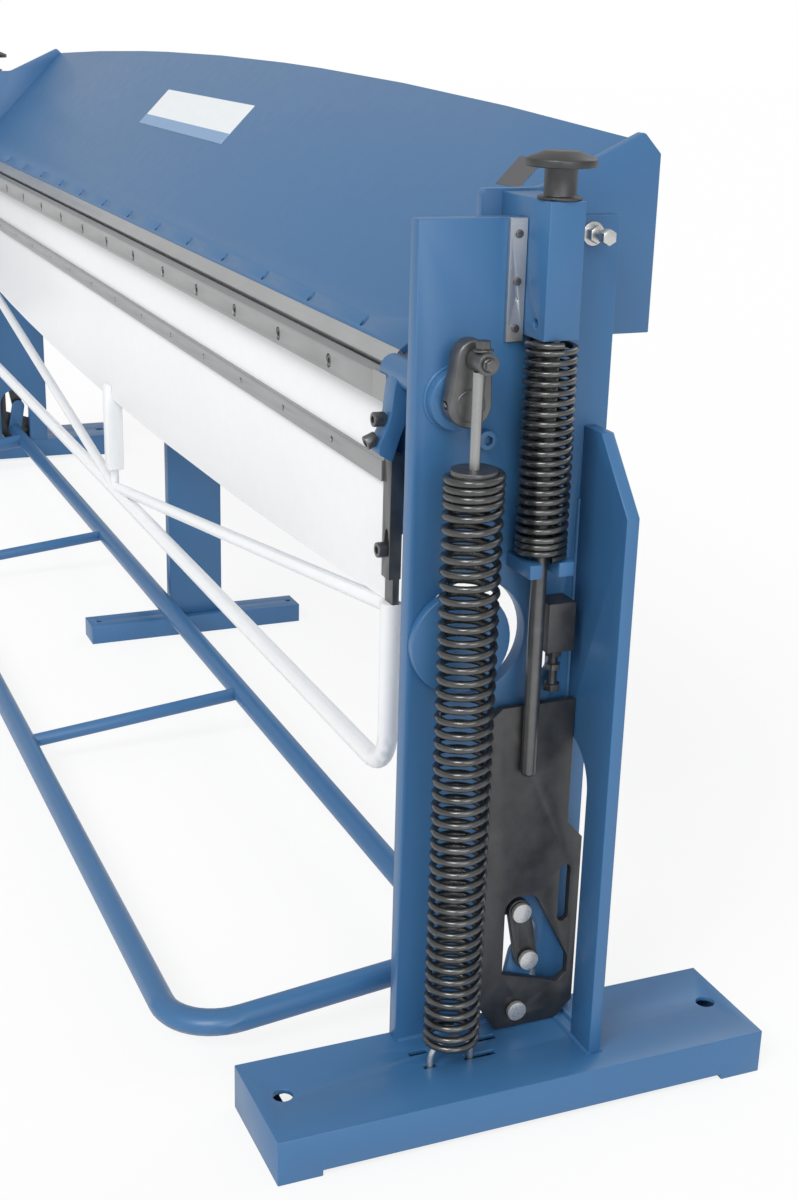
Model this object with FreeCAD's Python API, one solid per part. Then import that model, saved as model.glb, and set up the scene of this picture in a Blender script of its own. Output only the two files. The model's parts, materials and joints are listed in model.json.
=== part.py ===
import FreeCAD, Part
import math
import os

# Manual sheet metal folding machine, 3.1 m working length, in millimetres.
# X runs along the machine with 0 midway between the end stands, Y points away from
# the operator, Z is up from the floor. The right end is drawn and the left is its mirror.

V = FreeCAD.Vector

# Lengths along the machine, where every end follows the working length
working_half = 1540.0
leaf_overlap = 5.0
pedal_overhang = 75.0
clamp_overhang = 145.0
stand_overhang = 190.0

# End stand: foot
foot_width = 176.0
foot_front_y = -329.0
foot_rear_y = 371.0
foot_height = 63.5
foot_wall = 7.0
pad_length = 60.0
pad_height = 8.0
anchor_offset = 84.0
anchor_front_y = -291.0
anchor_rear_y = 337.0
anchor_hole_r = 13.0

# End stand: upright plate
upright_thickness = 22.0
upright_front_y = -110.0
upright_rear_y = 152.0
upright_top_z = 1146.0
arch_front_y = 10.0
arch_rear_y = 98.0
arch_top_z = 225.0
round_hole_y = -24.0
round_hole_z = 631.0
round_hole_r = 76.0
hub_disc_y = -42.0
hub_disc_r = 67.0
hub_disc_thickness = 15.0
boss_r = 37.0
boss_length = 18.0

# End stand: rear rib, spring seat, guide strip and stop
rib_front_y = 120.0
rib_thickness = 17.0
rib_width = 119.0
rib_shoulder_z = 805.0
rib_top_z = 893.0
rib_top_width = 44.0
rib_notch_width = 66.0
rib_notch_top_z = 488.0
seat_length_x = 73.0
seat_front_y = 10.0
seat_rear_y = 98.0
seat_bottom_z = 722.0
seat_thickness = 18.0
strip_thickness = 6.0
strip_width = 22.0
strip_bottom_z = 1002.0
stop_front_y = 66.0
stop_rear_y = 104.0
stop_depth_x = 38.0
stop_bottom_z = 612.0
stop_height = 65.0
stop_slot_width = 20.0
stop_slot_bottom_z = 566.0
stop_screw_r = 6.0
stop_screw_head_r = 10.0
stop_screw_gap = 16.0

# Middle stand
middle_x = -70.0
middle_foot_width = 70.0
middle_foot_front_y = -104.0
middle_foot_rear_y = 390.0
middle_foot_height = 42.0
middle_foot_wall = 5.0
middle_hole_r = 6.0
middle_hole_inset_front = 24.0
middle_hole_inset_rear = 17.0
column_thickness = 28.0
column_front_y = 84.0
column_rear_y = 206.0
column_gusset_height = 90.0

# Fold line, which is also the swing axis of the bending beam
fold_y = -58.0
fold_z = 938.0
nose_back = 2.0

# Lower beam under the table
beam_bottom_z = 700.0
beam_front_y = -22.0
beam_rear_y = 150.0
beam_plate = 12.0
table_thickness = 20.0
table_blade_height = 36.0

# Clamp beam
clamp_gap = 0.3
clamp_angle = 45.6
clamp_plate_thickness = 9.0
clamp_blade_face = 24.0
clamp_blade_seat = 58.0
clamp_blade_depth = 24.0
clamp_plate_rise_middle = 434.0
clamp_plate_rise_end = 376.0
clamp_corner_cut = 60.0
clamp_corner_length = 24.0
end_plate_thickness = 15.0
end_plate_front_y = 0.0
end_plate_rear_y = 242.0
end_plate_bottom_z = 990.0
end_plate_lip_z = 962.0
end_plate_lip_length = 60.0
end_plate_lip_slope = 35.0
end_plate_rear_drop = 26.0
end_plate_shelf_z = 1172.0
end_plate_shelf_y = 80.0
end_plate_tip_y = 217.0
end_plate_tip_z = 1236.0
clamp_base_thickness = 10.0
clamp_web_rear_y = 224.0

# Slider, rod and knob of the clamp
rod_offset = 35.0
rod_y = 50.0
rod_r = 10.0
rod_bottom_z = 446.0
rod_clearance = 5.0
slider_width = 46.0
slider_bottom_z = 1010.0
slider_height = 159.0
slider_clearance = 1.0
washer_r = 26.0
washer_thickness = 4.0
knob_stem_r = 19.0
knob_stem_length = 33.0
knob_r = 41.0
knob_rim = 9.0
knob_dome = 8.0

# Knee toggle: A is fixed in the upright, B is the knee and C is carried by the toggle plate
pin_a_y = 55.0
pin_a_z = 242.0
knee_y = 69.0
knee_z = 168.0
pin_c_z = 92.0
pin_r = 9.0
pin_head_r = 13.0
pin_head = 6.0
pin_clearance = 0.08
knee_clearance = 1.3
crank_gap = 2.6
crank_thickness = 9.0
crank_end_r = 19.0
toggle_thickness = 11.0
link_end_r = 16.0
link_side_gap = 0.8
clamp_travel = 10.0
toggle_front_y = 0.0
toggle_neck_rear_y = 119.0
toggle_rear_y = 142.0
toggle_top_z = 539.0
toggle_floor_gap = 2.0
toggle_shoulder_z = 364.0
toggle_shoulder_drop = 26.0
toggle_low_front_y = 27.0
toggle_low_front_z = 106.0
toggle_low_rear_y = 118.0
toggle_low_rear_z = 89.0
toggle_top_cut_y = 16.0
toggle_top_cut_z = 13.0
toggle_window_gap = 6.0
window_front_z = 150.0
window_low_y = 118.0
window_low_z = 121.0
window_rear_y = 131.0
window_rear_z = 134.0
window_rear_top_z = 158.0
window_corner_r = 9.0
toggle_slot_front_y = 112.0
toggle_slot_rear_y = 128.0
toggle_slot_bottom_z = 215.0
toggle_slot_top_z = 300.0

# Bending beam
blade_front_y = -78.0
blade_bottom_z = 897.0
blade_drop = 4.0
blade_back = 3.0
bend_plate_front_y = -55.0
bend_plate_thickness = 8.0
bend_plate_top_z = 905.0
bend_plate_end_z = 618.0
bend_plate_middle_z = 570.0
strip_low_z = 783.0
strip_height = 28.0
strip_proud = 8.0
bracket_thickness = 20.0
bracket_rear = 20.0
bracket_top = 12.0
bracket_bottom = 110.0
bracket_bulge = 26.0
end_bar_width = 26.0
end_bar_front_y = -60.0
end_bar_rear_y = -42.0
end_bar_top_z = 822.0
end_bar_gap = 1.0
end_bar_foot_height = 36.0
truss_tube_r = 14.0
truss_y = -50.0
truss_z = 367.0
truss_bend = 60.0
truss_post_width = 34.0
truss_post_bottom_z = 415.0
truss_neck_r = 9.0

# Pivot shaft, crank lever and balance spring
shaft_r = 18.0
lever_thickness = 25.0
lever_gap = 5.0
lever_end_r = 27.0
lever_pin_r = 22.0
lever_pin_y = -55.0
lever_rise = 55.0
crank_pin_r = 8.0
spring_offset = 68.0
spring_y = -60.0
eye_r = 13.0
eye_length = 34.0
eye_rod_r = 4.5
spring_r = 39.0
spring_wire = 10.0
spring_bottom_z = 92.0
spring_top_z = 868.0
cap_gap = 0.6
cap_thickness = 10.0
hook_wire_r = 4.0
hook_r = 29.0
hook_pivot_z = 50.0
hook_slot_width = 10.0
hook_slot_room = 9.0
saddle_clearance = 0.1
saddle_half_width = 12.0

# Lift spring round the clamp rod
lift_spring_r = 33.0
lift_spring_wire = 8.5

# Pedal frame
pedal_tube_r = 19.0
pedal_front_y = -371.0
pedal_front_z = 46.5
pedal_bend = 90.0
rung_r = 12.5
rung_x = 565.0

seat_gap = 0.3
reach = 1.0
tube_sides = 16
head_sides = 12
knob_sides = 24


def block(x0, x1, y0, y1, z0, z1):
    """Box between two corners."""
    return Part.makeBox(x1 - x0, y1 - y0, z1 - z0, V(x0, y0, z0))


def bar(start, end, radius):
    """Round bar from one point to another."""
    line = V(*end) - V(*start)
    return Part.makeCylinder(radius, line.Length, V(*start), line)


def outline(corners, place):
    """Closed wire through corners (a, b), or (a, b, radius) where a corner is rounded."""
    turns = []
    for i, corner in enumerate(corners):
        here = V(corner[0], corner[1], 0)
        before = V(corners[i - 1][0], corners[i - 1][1], 0)
        following = corners[(i + 1) % len(corners)]
        after = V(following[0], following[1], 0)
        if len(corner) < 3:
            turns.append((here, None, here))
            continue
        back = (before - here).normalize()
        ahead = (after - here).normalize()
        half = back.getAngle(ahead) / 2
        middle = (back + ahead).normalize()
        centre = here + middle * (corner[2] / math.sin(half))
        run = corner[2] / math.tan(half)
        turns.append((here + back * run, centre - middle * corner[2], here + ahead * run))
    edges = []
    for i, (start, crest, end) in enumerate(turns):
        if crest is not None:
            edges.append(Part.Arc(*[place(p.x, p.y) for p in (start, crest, end)]).toShape())
        goal = turns[(i + 1) % len(turns)][0]
        if (goal - end).Length > 1e-6:
            edges.append(Part.LineSegment(place(end.x, end.y), place(goal.x, goal.y)).toShape())
    return Part.Wire(edges)


def plate_x(corners, x0, x1):
    """Plate of a (y, z) outline between two planes across X."""
    face = Part.Face(outline(corners, lambda a, b: V(x0, a, b)))
    return face.extrude(V(x1 - x0, 0, 0))


def plate_y(corners, y0, y1):
    """Plate of an (x, z) outline between two planes across Y."""
    face = Part.Face(outline(corners, lambda a, b: V(a, y0, b)))
    return face.extrude(V(0, y1 - y0, 0))


def plate_z(corners, z0, z1):
    """Plate of an (x, y) outline between two planes across Z."""
    face = Part.Face(outline(corners, lambda a, b: V(a, b, z0)))
    return face.extrude(V(0, 0, z1 - z0))


def rounded_box_corners(a0, a1, b0, b1, radius):
    """Corners of a rectangle, all rounded to one radius."""
    return [(a0, b0, radius), (a1, b0, radius), (a1, b1, radius), (a0, b1, radius)]


def polygon(a, b, flat_r, sides):
    """Corners of a regular polygon about (a, b), with its flats at flat_r."""
    step = 2 * math.pi / sides
    corner_r = flat_r / math.cos(step / 2)
    return [(a + corner_r * math.cos(step * (i + 0.5)), b + corner_r * math.sin(step * (i + 0.5)))
            for i in range(sides)]


def arm(p, p_r, q, q_r, x0, x1):
    """Plate across X with round ends about the (y, z) points p and q."""
    along = V(q[0] - p[0], q[1] - p[1], 0)
    length = along.Length
    along.normalize()
    across = V(-along.y, along.x, 0)
    lean = math.asin((p_r - q_r) / length)
    side = [along * math.sin(lean) + across * (s * math.cos(lean)) for s in (1, -1)]
    p_v = V(p[0], p[1], 0)
    q_v = V(q[0], q[1], 0)
    points = [p_v + side[0] * p_r, p_v - along * p_r, p_v + side[1] * p_r,
              q_v + side[1] * q_r, q_v + along * q_r, q_v + side[0] * q_r]
    points = [V(x0, v.x, v.y) for v in points]
    edges = [Part.Arc(points[0], points[1], points[2]).toShape(),
             Part.LineSegment(points[2], points[3]).toShape(),
             Part.Arc(points[3], points[4], points[5]).toShape(),
             Part.LineSegment(points[5], points[0]).toShape()]
    return Part.Face(Part.Wire(edges)).extrude(V(x1 - x0, 0, 0))


def bent_tube(points, radius, bend):
    """Tube of many flats along straight runs, with a tangent arc at each turn."""
    points = [V(*p) for p in points]
    edges = []
    start = points[0]
    for before, here, after in zip(points, points[1:], points[2:]):
        back = (before - here).normalize()
        ahead = (after - here).normalize()
        half = back.getAngle(ahead) / 2
        middle = (back + ahead).normalize()
        centre = here + middle * (bend / math.sin(half))
        run = bend / math.tan(half)
        edges.append(Part.LineSegment(start, here + back * run).toShape())
        edges.append(Part.Arc(here + back * run, centre - middle * bend, here + ahead * run).toShape())
        start = here + ahead * run
    edges.append(Part.LineSegment(start, points[-1]).toShape())
    ring = Part.makePolygon(Part.makeCircle(radius, points[0], points[1] - points[0]).discretize(tube_sides + 1))
    return Part.Wire(edges).makePipeShell([ring], True, False)


def sleeve(x, y, z0, z1, outer, inner):
    """Hollow round sleeve that stands for a coil."""
    return bar((x, y, z0), (x, y, z1), outer).cut(bar((x, y, z0 - reach), (x, y, z1 + reach), inner))


def mirrored(shape):
    """The same piece at the left end."""
    return shape.mirror(V(0, 0, 0), V(1, 0, 0))


def both(shape):
    """The right piece and its mirror as separate solids."""
    return Part.makeCompound([shape, mirrored(shape)])


# Places that several pieces share
bend_half = working_half + leaf_overlap
pedal_arm_x = working_half + pedal_overhang
clamp_end_x = working_half + clamp_overhang
stand_inner_x = working_half + stand_overhang
upright_outer_x = stand_inner_x + upright_thickness
foot_outer_x = stand_inner_x + foot_width
anchor_x = stand_inner_x + anchor_offset
spring_x = upright_outer_x + spring_offset
rod_x = upright_outer_x + rod_offset
seat_top_z = seat_bottom_z + seat_thickness
slider_top_z = slider_bottom_z + slider_height
crank_x = upright_outer_x + crank_gap
toggle_x = rod_x - rod_r - toggle_thickness
toggle_face_x = rod_x - rod_r
lever_x = upright_outer_x + boss_length + lever_gap
lever_pin_z = fold_z + lever_rise
link_x = toggle_x + link_side_gap
link_face_x = toggle_face_x - link_side_gap
end_bar_bottom_z = bend_plate_end_z - end_bar_gap
slope_y = math.cos(math.radians(clamp_angle))
slope_z = math.sin(math.radians(clamp_angle))
nose_y = fold_y + nose_back
nose_z = fold_z + clamp_gap
face_y = nose_y + clamp_blade_face * slope_y
face_z = nose_z + clamp_blade_face * slope_z
under_y = face_y + clamp_plate_thickness * slope_z
under_z = face_z - clamp_plate_thickness * slope_y


def underside_z(y):
    """Height of the clamp plate's lower face above a place y."""
    return under_z + (y - under_y) * slope_z / slope_y


def end_foot():
    """Inverted channel with closed ends, pads under both, and a saddle that the spring's hook turns on."""
    foot = block(stand_inner_x, foot_outer_x, foot_front_y, foot_rear_y, pad_height, foot_height)
    foot = foot.cut(block(stand_inner_x + foot_wall, foot_outer_x - foot_wall, foot_front_y + foot_wall,
                          foot_rear_y - foot_wall, 0, foot_height - foot_wall))
    for y0 in (foot_front_y, foot_rear_y - pad_length):
        foot = foot.fuse(block(stand_inner_x, foot_outer_x, y0, y0 + pad_length, 0, pad_height))
    for y in (anchor_front_y, anchor_rear_y):
        foot = foot.cut(bar((anchor_x, y, -reach), (anchor_x, y, foot_height + reach), anchor_hole_r))
    half = hook_slot_width / 2
    slots = [(spring_x, spring_y - hook_r - hook_slot_room, spring_y - hook_r + hook_slot_room),
             (spring_x, spring_y + hook_r - hook_slot_room, spring_y + hook_r + 4 * hook_slot_room),
             (rod_x, spring_y - 5 * hook_slot_room, spring_y - 2 * hook_slot_room),
             (rod_x, spring_y + 5 * hook_slot_room, spring_y + 9 * hook_slot_room)]
    for x, y0, y1 in slots:
        corners = [(x - half, y0), (x + half, y0), (x + half, y1), (x - half, y1)]
        foot = foot.cut(plate_z(corners, foot_height - foot_wall - reach, foot_height + reach))
    saddle = bar((spring_x - saddle_half_width, spring_y, hook_pivot_z),
                 (spring_x + saddle_half_width, spring_y, hook_pivot_z), hook_r - hook_wire_r - saddle_clearance)
    saddle = saddle.common(block(stand_inner_x, foot_outer_x, foot_front_y, foot_rear_y, 0, foot_height - foot_wall))
    return foot.fuse(saddle).removeSplitter()


def upright():
    """Side plate with its arch, round hole, stop slot, slider notch, pivot boss and toggle pin."""
    x0 = stand_inner_x
    x1 = upright_outer_x
    plate = block(x0, x1, upright_front_y, upright_rear_y, foot_height, upright_top_z)
    boss = bar((x1 - reach, fold_y, fold_z), (x1 + boss_length, fold_y, fold_z), boss_r)
    toggle_pin = bar((x0, pin_a_y, pin_a_z), (toggle_face_x + reach, pin_a_y, pin_a_z), pin_r)
    toggle_pin = toggle_pin.fuse(plate_x(polygon(pin_a_y, pin_a_z, pin_head_r, head_sides),
                                         toggle_face_x + reach, toggle_face_x + reach + pin_head))
    plate = plate.fuse([boss, toggle_pin])
    arch_r = (arch_rear_y - arch_front_y) / 2
    arch = plate_x([(arch_front_y, foot_height - reach), (arch_rear_y, foot_height - reach),
                    (arch_rear_y, arch_top_z, arch_r), (arch_front_y, arch_top_z, arch_r)], x0 - reach, x1 + reach)
    opening = bar((x0 - reach, round_hole_y, round_hole_z), (x1 + reach, round_hole_y, round_hole_z), round_hole_r)
    slot_y = (stop_front_y + stop_rear_y) / 2
    slot_half = stop_slot_width / 2
    slot = plate_x(rounded_box_corners(slot_y - slot_half, slot_y + slot_half, stop_slot_bottom_z,
                                       stop_bottom_z + stop_height - 14, slot_half), x0 - reach, x1 + reach)
    slider_half = slider_width / 2 + slider_clearance
    notch = block(x0 - reach, x1 + reach, rod_y - slider_half, rod_y + slider_half,
                  slider_bottom_z - 2 * slider_clearance, upright_top_z + reach)
    shaft = bar((x0 - reach, fold_y, fold_z), (x1 + boss_length + reach, fold_y, fold_z),
                shaft_r + pin_clearance)
    return plate.cut([arch, opening, slot, notch, shaft]).removeSplitter()


def rear_rib():
    """Rib behind the upright, notched to let the toggle plate pass."""
    x0 = upright_outer_x
    x1 = x0 + rib_width
    rib = plate_y([(x0, foot_height), (x1, foot_height), (x1, rib_shoulder_z),
                   (x0 + rib_top_width, rib_top_z), (x0, rib_top_z)], rib_front_y, rib_front_y + rib_thickness)
    notch = plate_y([(x0 - rib_notch_width, foot_height - reach), (x0 + rib_notch_width, foot_height - reach),
                     (x0 + rib_notch_width, rib_notch_top_z, rib_notch_width - reach),
                     (x0 - rib_notch_width, rib_notch_top_z, rib_notch_width - reach)],
                    rib_front_y - reach, rib_front_y + rib_thickness + reach)
    return rib.cut(notch)


def hub_disc():
    """Raised disc that covers the round hole but for a crescent."""
    return bar((upright_outer_x, hub_disc_y, round_hole_z),
               (upright_outer_x + hub_disc_thickness, hub_disc_y, round_hole_z), hub_disc_r)


def spring_seat():
    """Bracket under the lift spring, bored for the clamp rod."""
    seat_end_x = upright_outer_x + seat_length_x
    seat = block(upright_outer_x, seat_end_x, seat_front_y, seat_rear_y, seat_bottom_z, seat_top_z)
    return seat.cut(bar((rod_x, rod_y, seat_bottom_z - reach), (rod_x, rod_y, seat_top_z + reach),
                        rod_r + rod_clearance))


def guide_strip():
    """Steel strip beside the slider notch."""
    y1 = rod_y - slider_width / 2 - slider_clearance
    return block(upright_outer_x, upright_outer_x + strip_thickness, y1 - strip_width, y1,
                 strip_bottom_z, upright_top_z)


def stop_block():
    """Stop that is bolted through the upright's slot, with its set screw above the toggle plate."""
    x0 = upright_outer_x
    y = (stop_front_y + stop_rear_y) / 2
    z = stop_bottom_z + stop_height / 2
    body = block(x0, x0 + stop_depth_x, stop_front_y, stop_rear_y, stop_bottom_z, stop_bottom_z + stop_height)
    stud = bar((x0 - upright_thickness, y, z), (x0 + reach, y, z), stop_slot_width / 2 - reach)
    head = plate_x(polygon(y, z, stop_slot_width / 2 + 8, 6), x0 - upright_thickness - 10, x0 - upright_thickness)
    screw_x = toggle_x + toggle_thickness / 2
    low_z = toggle_top_z + stop_screw_gap
    screw = plate_z(polygon(screw_x, y, stop_screw_r, head_sides), low_z, stop_bottom_z + reach)
    tip = plate_z(polygon(screw_x, y, stop_screw_head_r, 6), low_z, low_z + 9)
    nut = plate_z(polygon(screw_x, y, stop_screw_head_r, 6), stop_bottom_z - 10, stop_bottom_z)
    return body.fuse([stud, head, screw, tip, nut]).removeSplitter()


def middle_foot():
    """Rectangular tube on the floor under the middle column."""
    half = middle_foot_width / 2
    wall = middle_foot_wall
    foot = block(middle_x - half, middle_x + half, middle_foot_front_y, middle_foot_rear_y, 0, middle_foot_height)
    foot = foot.cut(block(middle_x - half + wall, middle_x + half - wall, middle_foot_front_y + wall,
                          middle_foot_rear_y - wall, wall, middle_foot_height - wall))
    for y in (middle_foot_front_y + middle_hole_inset_front, middle_foot_rear_y - middle_hole_inset_rear):
        foot = foot.cut(bar((middle_x, y, -reach), (middle_x, y, middle_foot_height + reach), middle_hole_r))
    return foot


def middle_column():
    """Column from the middle foot to the lower beam, whose rear edge leans in against the beam's rear web."""
    half = column_thickness / 2
    return plate_x([(column_front_y, middle_foot_height), (column_rear_y, middle_foot_height),
                    (column_rear_y, beam_bottom_z), (beam_rear_y, beam_bottom_z + column_gusset_height),
                    (beam_rear_y, beam_bottom_z), (column_front_y, beam_bottom_z)], middle_x - half, middle_x + half)


def beam_front_web():
    return block(-stand_inner_x, stand_inner_x, beam_front_y, beam_front_y + beam_plate,
                 beam_bottom_z + beam_plate, fold_z - table_thickness)


def beam_rear_web():
    return block(-stand_inner_x, stand_inner_x, beam_rear_y - beam_plate, beam_rear_y,
                 beam_bottom_z + beam_plate, fold_z - table_thickness)


def beam_bottom_plate():
    return block(-stand_inner_x, stand_inner_x, beam_front_y, beam_rear_y, beam_bottom_z, beam_bottom_z + beam_plate)


def table_plate():
    return block(-stand_inner_x, stand_inner_x, beam_front_y, beam_rear_y, fold_z - table_thickness, fold_z)


def table_blade():
    """Knife-edged bar along the fold line, in front of the table plate."""
    return plate_x([(nose_y, fold_z), (beam_front_y, fold_z), (beam_front_y, fold_z - table_blade_height),
                    (nose_y + 2, fold_z - 4)], -working_half, working_half)


def clamp_plate():
    """Inclined plate with an arched top edge and cut lower corners."""
    half = clamp_end_x - end_plate_thickness
    slant = [V(-working_half, 0, 0), V(working_half, 0, 0),
             V(working_half + clamp_corner_length, clamp_corner_cut, 0), V(half, clamp_corner_cut, 0),
             V(half, clamp_plate_rise_end, 0)]
    left = [V(-half, clamp_plate_rise_end, 0), V(-half, clamp_corner_cut, 0),
            V(-working_half - clamp_corner_length, clamp_corner_cut, 0), V(-working_half, 0, 0)]
    edges = [Part.LineSegment(p, q).toShape() for p, q in zip(slant, slant[1:])]
    edges.append(Part.Arc(slant[-1], V(0, clamp_plate_rise_middle, 0), left[0]).toShape())
    edges += [Part.LineSegment(p, q).toShape() for p, q in zip(left, left[1:])]
    plate = Part.Face(Part.Wire(edges)).extrude(V(0, 0, -clamp_plate_thickness))
    plate.rotate(V(0, 0, 0), V(1, 0, 0), clamp_angle)
    plate.translate(V(0, face_y, face_z))
    return plate


def clamp_blade():
    """Bright nose bar whose face continues the plate's, with a seat under the plate."""
    top_y = under_y + clamp_blade_seat * slope_y
    top_z = under_z + clamp_blade_seat * slope_z
    back_y = top_y + clamp_blade_depth * slope_z
    back_z = top_z - clamp_blade_depth * slope_y
    heel_y = back_y - (back_z - nose_z) * slope_y / slope_z
    return plate_x([(nose_y, nose_z), (heel_y, nose_z), (back_y, back_z), (top_y, top_z), (under_y, under_z),
                    (face_y, face_z)], -working_half, working_half)


def clamp_base_plate():
    half = clamp_end_x - end_plate_thickness
    z0 = end_plate_bottom_z
    z1 = z0 + clamp_base_thickness
    front_0 = under_y + (z0 - under_z) * slope_y / slope_z
    front_1 = under_y + (z1 - under_z) * slope_y / slope_z
    base = plate_x([(front_0, z0), (end_plate_rear_y, z0), (end_plate_rear_y, z1), (front_1, z1)], -half, half)
    return base.cut(clamp_blade())


def clamp_rear_web():
    half = clamp_end_x - end_plate_thickness
    front = clamp_web_rear_y - clamp_base_thickness
    z0 = end_plate_bottom_z + clamp_base_thickness
    web = plate_x([(front, z0), (clamp_web_rear_y, z0), (clamp_web_rear_y, underside_z(clamp_web_rear_y)),
                   (front, underside_z(front))], -half, half)
    return web.common(block(-half, half, front, clamp_web_rear_y, z0, underside_z(front)))


def clamp_end_plate():
    """End plate that closes the beam and stands proud in front of the clamp plate."""
    lip_y = end_plate_front_y + end_plate_lip_length
    return plate_x([(end_plate_front_y, end_plate_lip_z, 12), (lip_y, end_plate_lip_z),
                    (lip_y + end_plate_lip_slope, end_plate_bottom_z), (end_plate_rear_y, end_plate_bottom_z),
                    (end_plate_rear_y, end_plate_tip_z - end_plate_rear_drop), (end_plate_tip_y, end_plate_tip_z, 6),
                    (end_plate_shelf_y, end_plate_shelf_z, 40), (end_plate_front_y, end_plate_shelf_z, 8)],
                   clamp_end_x - end_plate_thickness, clamp_end_x)


def clamp_rod():
    """Rod from the knob through slider, spring and seat to the toggle plate's face."""
    return bar((rod_x, rod_y, rod_bottom_z), (rod_x, rod_y, slider_top_z), rod_r)


def slider_block():
    """Square block from the end plate through the upright's notch."""
    half = slider_width / 2
    body = block(clamp_end_x, rod_x + half, rod_y - half, rod_y + half, slider_bottom_z, slider_top_z)
    return body.cut(bar((rod_x, rod_y, slider_bottom_z - reach), (rod_x, rod_y, slider_top_z + reach), rod_r))


def knob():
    """Washer, stem and domed head of many flats."""
    z1 = slider_top_z + washer_thickness
    z2 = z1 + knob_stem_length
    z3 = z2 + knob_rim
    washer = plate_z(polygon(rod_x, rod_y, washer_r, knob_sides), slider_top_z, z1)
    stem = plate_z(polygon(rod_x, rod_y, knob_stem_r, knob_sides), z1, z2)
    head = plate_z(polygon(rod_x, rod_y, knob_r, knob_sides), z2, z3)
    low = outline(polygon(rod_x, rod_y, knob_r, knob_sides), lambda a, b: V(a, b, z3))
    high = outline(polygon(rod_x, rod_y, knob_r / 2, knob_sides), lambda a, b: V(a, b, z3 + knob_dome))
    dome = Part.makeLoft([low, high], True, True)
    return washer.fuse([stem, head, dome]).removeSplitter()


def toggle_plate():
    """Plate on the rod's foot with the window in which the knee link swings."""
    x0 = toggle_x
    x1 = toggle_face_x
    low_z = foot_height + toggle_floor_gap
    plate = plate_x([(toggle_front_y, toggle_low_front_z), (toggle_low_front_y, low_z), (toggle_low_rear_y, low_z),
                     (toggle_rear_y, toggle_low_rear_z), (toggle_rear_y, toggle_shoulder_z - toggle_shoulder_drop),
                     (toggle_neck_rear_y, toggle_shoulder_z), (toggle_neck_rear_y, toggle_top_z),
                     (toggle_front_y + toggle_top_cut_y, toggle_top_z),
                     (toggle_front_y, toggle_top_z - toggle_top_cut_z)], x0, x1)
    apex = link_end_r + toggle_window_gap
    window = plate_x([(pin_a_y - apex, window_front_z), (window_low_y, window_low_z, window_corner_r),
                      (window_rear_y, window_rear_z), (window_rear_y, window_rear_top_z, window_corner_r),
                      (pin_a_y + apex, pin_a_z + apex, apex - 1), (pin_a_y - apex, pin_a_z + apex, apex - 1)],
                     x0 - reach, x1 + reach)
    slot_half = (toggle_slot_rear_y - toggle_slot_front_y) / 2
    slot = plate_x(rounded_box_corners(toggle_slot_front_y, toggle_slot_rear_y, toggle_slot_bottom_z,
                                       toggle_slot_top_z, slot_half), x0 - reach, x1 + reach)
    pivot = bar((x0 - reach, pin_a_y, pin_c_z), (x1 + reach, pin_a_y, pin_c_z), pin_r + pin_clearance)
    return plate.cut([window, slot, pivot])


def toggle_link():
    """Link between the fixed pin and the knee, in the plane of the toggle plate."""
    link = arm((pin_a_y, pin_a_z), link_end_r, (knee_y, knee_z), link_end_r, link_x, link_face_x)
    upper = bar((link_x - reach, pin_a_y, pin_a_z), (link_face_x + reach, pin_a_y, pin_a_z), pin_r + pin_clearance)
    knee = bar((link_x - reach, knee_y, knee_z), (link_face_x + reach, knee_y, knee_z), pin_r + knee_clearance)
    return link.cut([upper, knee])


def pedal_crank():
    """Crank arm on the torsion tube's end, with the pivot pin and the knee pin."""
    x1 = crank_x + crank_thickness
    crank = arm((pin_a_y, pin_c_z), crank_end_r + 1, (knee_y, knee_z), crank_end_r, crank_x, x1)
    head_x = toggle_face_x + reach
    for y, z in ((pin_a_y, pin_c_z), (knee_y, knee_z)):
        crank = crank.fuse(bar((x1 - reach, y, z), (head_x, y, z), pin_r))
        crank = crank.fuse(plate_x(polygon(y, z, pin_head_r, head_sides), head_x, head_x + pin_head))
    return crank.removeSplitter()


def pedal_tube():
    """Torsion tube through the arches of both uprights."""
    return bar((-crank_x, pin_a_y, pin_c_z), (crank_x, pin_a_y, pin_c_z), pedal_tube_r)


def pedal_bar():
    """Treadle bar with its two bent arms."""
    path = [(pedal_arm_x, pin_a_y, pin_c_z), (pedal_arm_x, pedal_front_y, pedal_front_z),
            (-pedal_arm_x, pedal_front_y, pedal_front_z), (-pedal_arm_x, pin_a_y, pin_c_z)]
    return bent_tube(path, pedal_tube_r, pedal_bend).cut(pedal_tube())


def pedal_rung(x):
    rung = bar((x, pin_a_y, pin_c_z), (x, pedal_front_y, pedal_front_z), rung_r)
    return rung.cut([pedal_tube(), pedal_bar()])


def bending_plate():
    """White leaf whose lower edge bows down towards the middle."""
    y0 = bend_plate_front_y
    right_low = V(bend_half, y0, bend_plate_end_z)
    left_low = V(-bend_half, y0, bend_plate_end_z)
    right_high = V(bend_half, y0, bend_plate_top_z)
    left_high = V(-bend_half, y0, bend_plate_top_z)
    edges = [Part.Arc(left_low, V(0, y0, bend_plate_middle_z), right_low).toShape(),
             Part.LineSegment(right_low, right_high).toShape(),
             Part.LineSegment(right_high, left_high).toShape(),
             Part.LineSegment(left_high, left_low).toShape()]
    return Part.Face(Part.Wire(edges)).extrude(V(0, bend_plate_thickness, 0))


def bending_blade():
    """Bright bar at the top of the leaf."""
    top = fold_z - blade_drop
    back = fold_y - blade_back
    return plate_x([(blade_front_y, blade_bottom_z), (bend_plate_front_y, blade_bottom_z),
                    (bend_plate_front_y, bend_plate_top_z), (back, bend_plate_top_z + 7), (back, top),
                    (blade_front_y + 2, top), (blade_front_y, top - 2)], -bend_half, bend_half)


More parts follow.
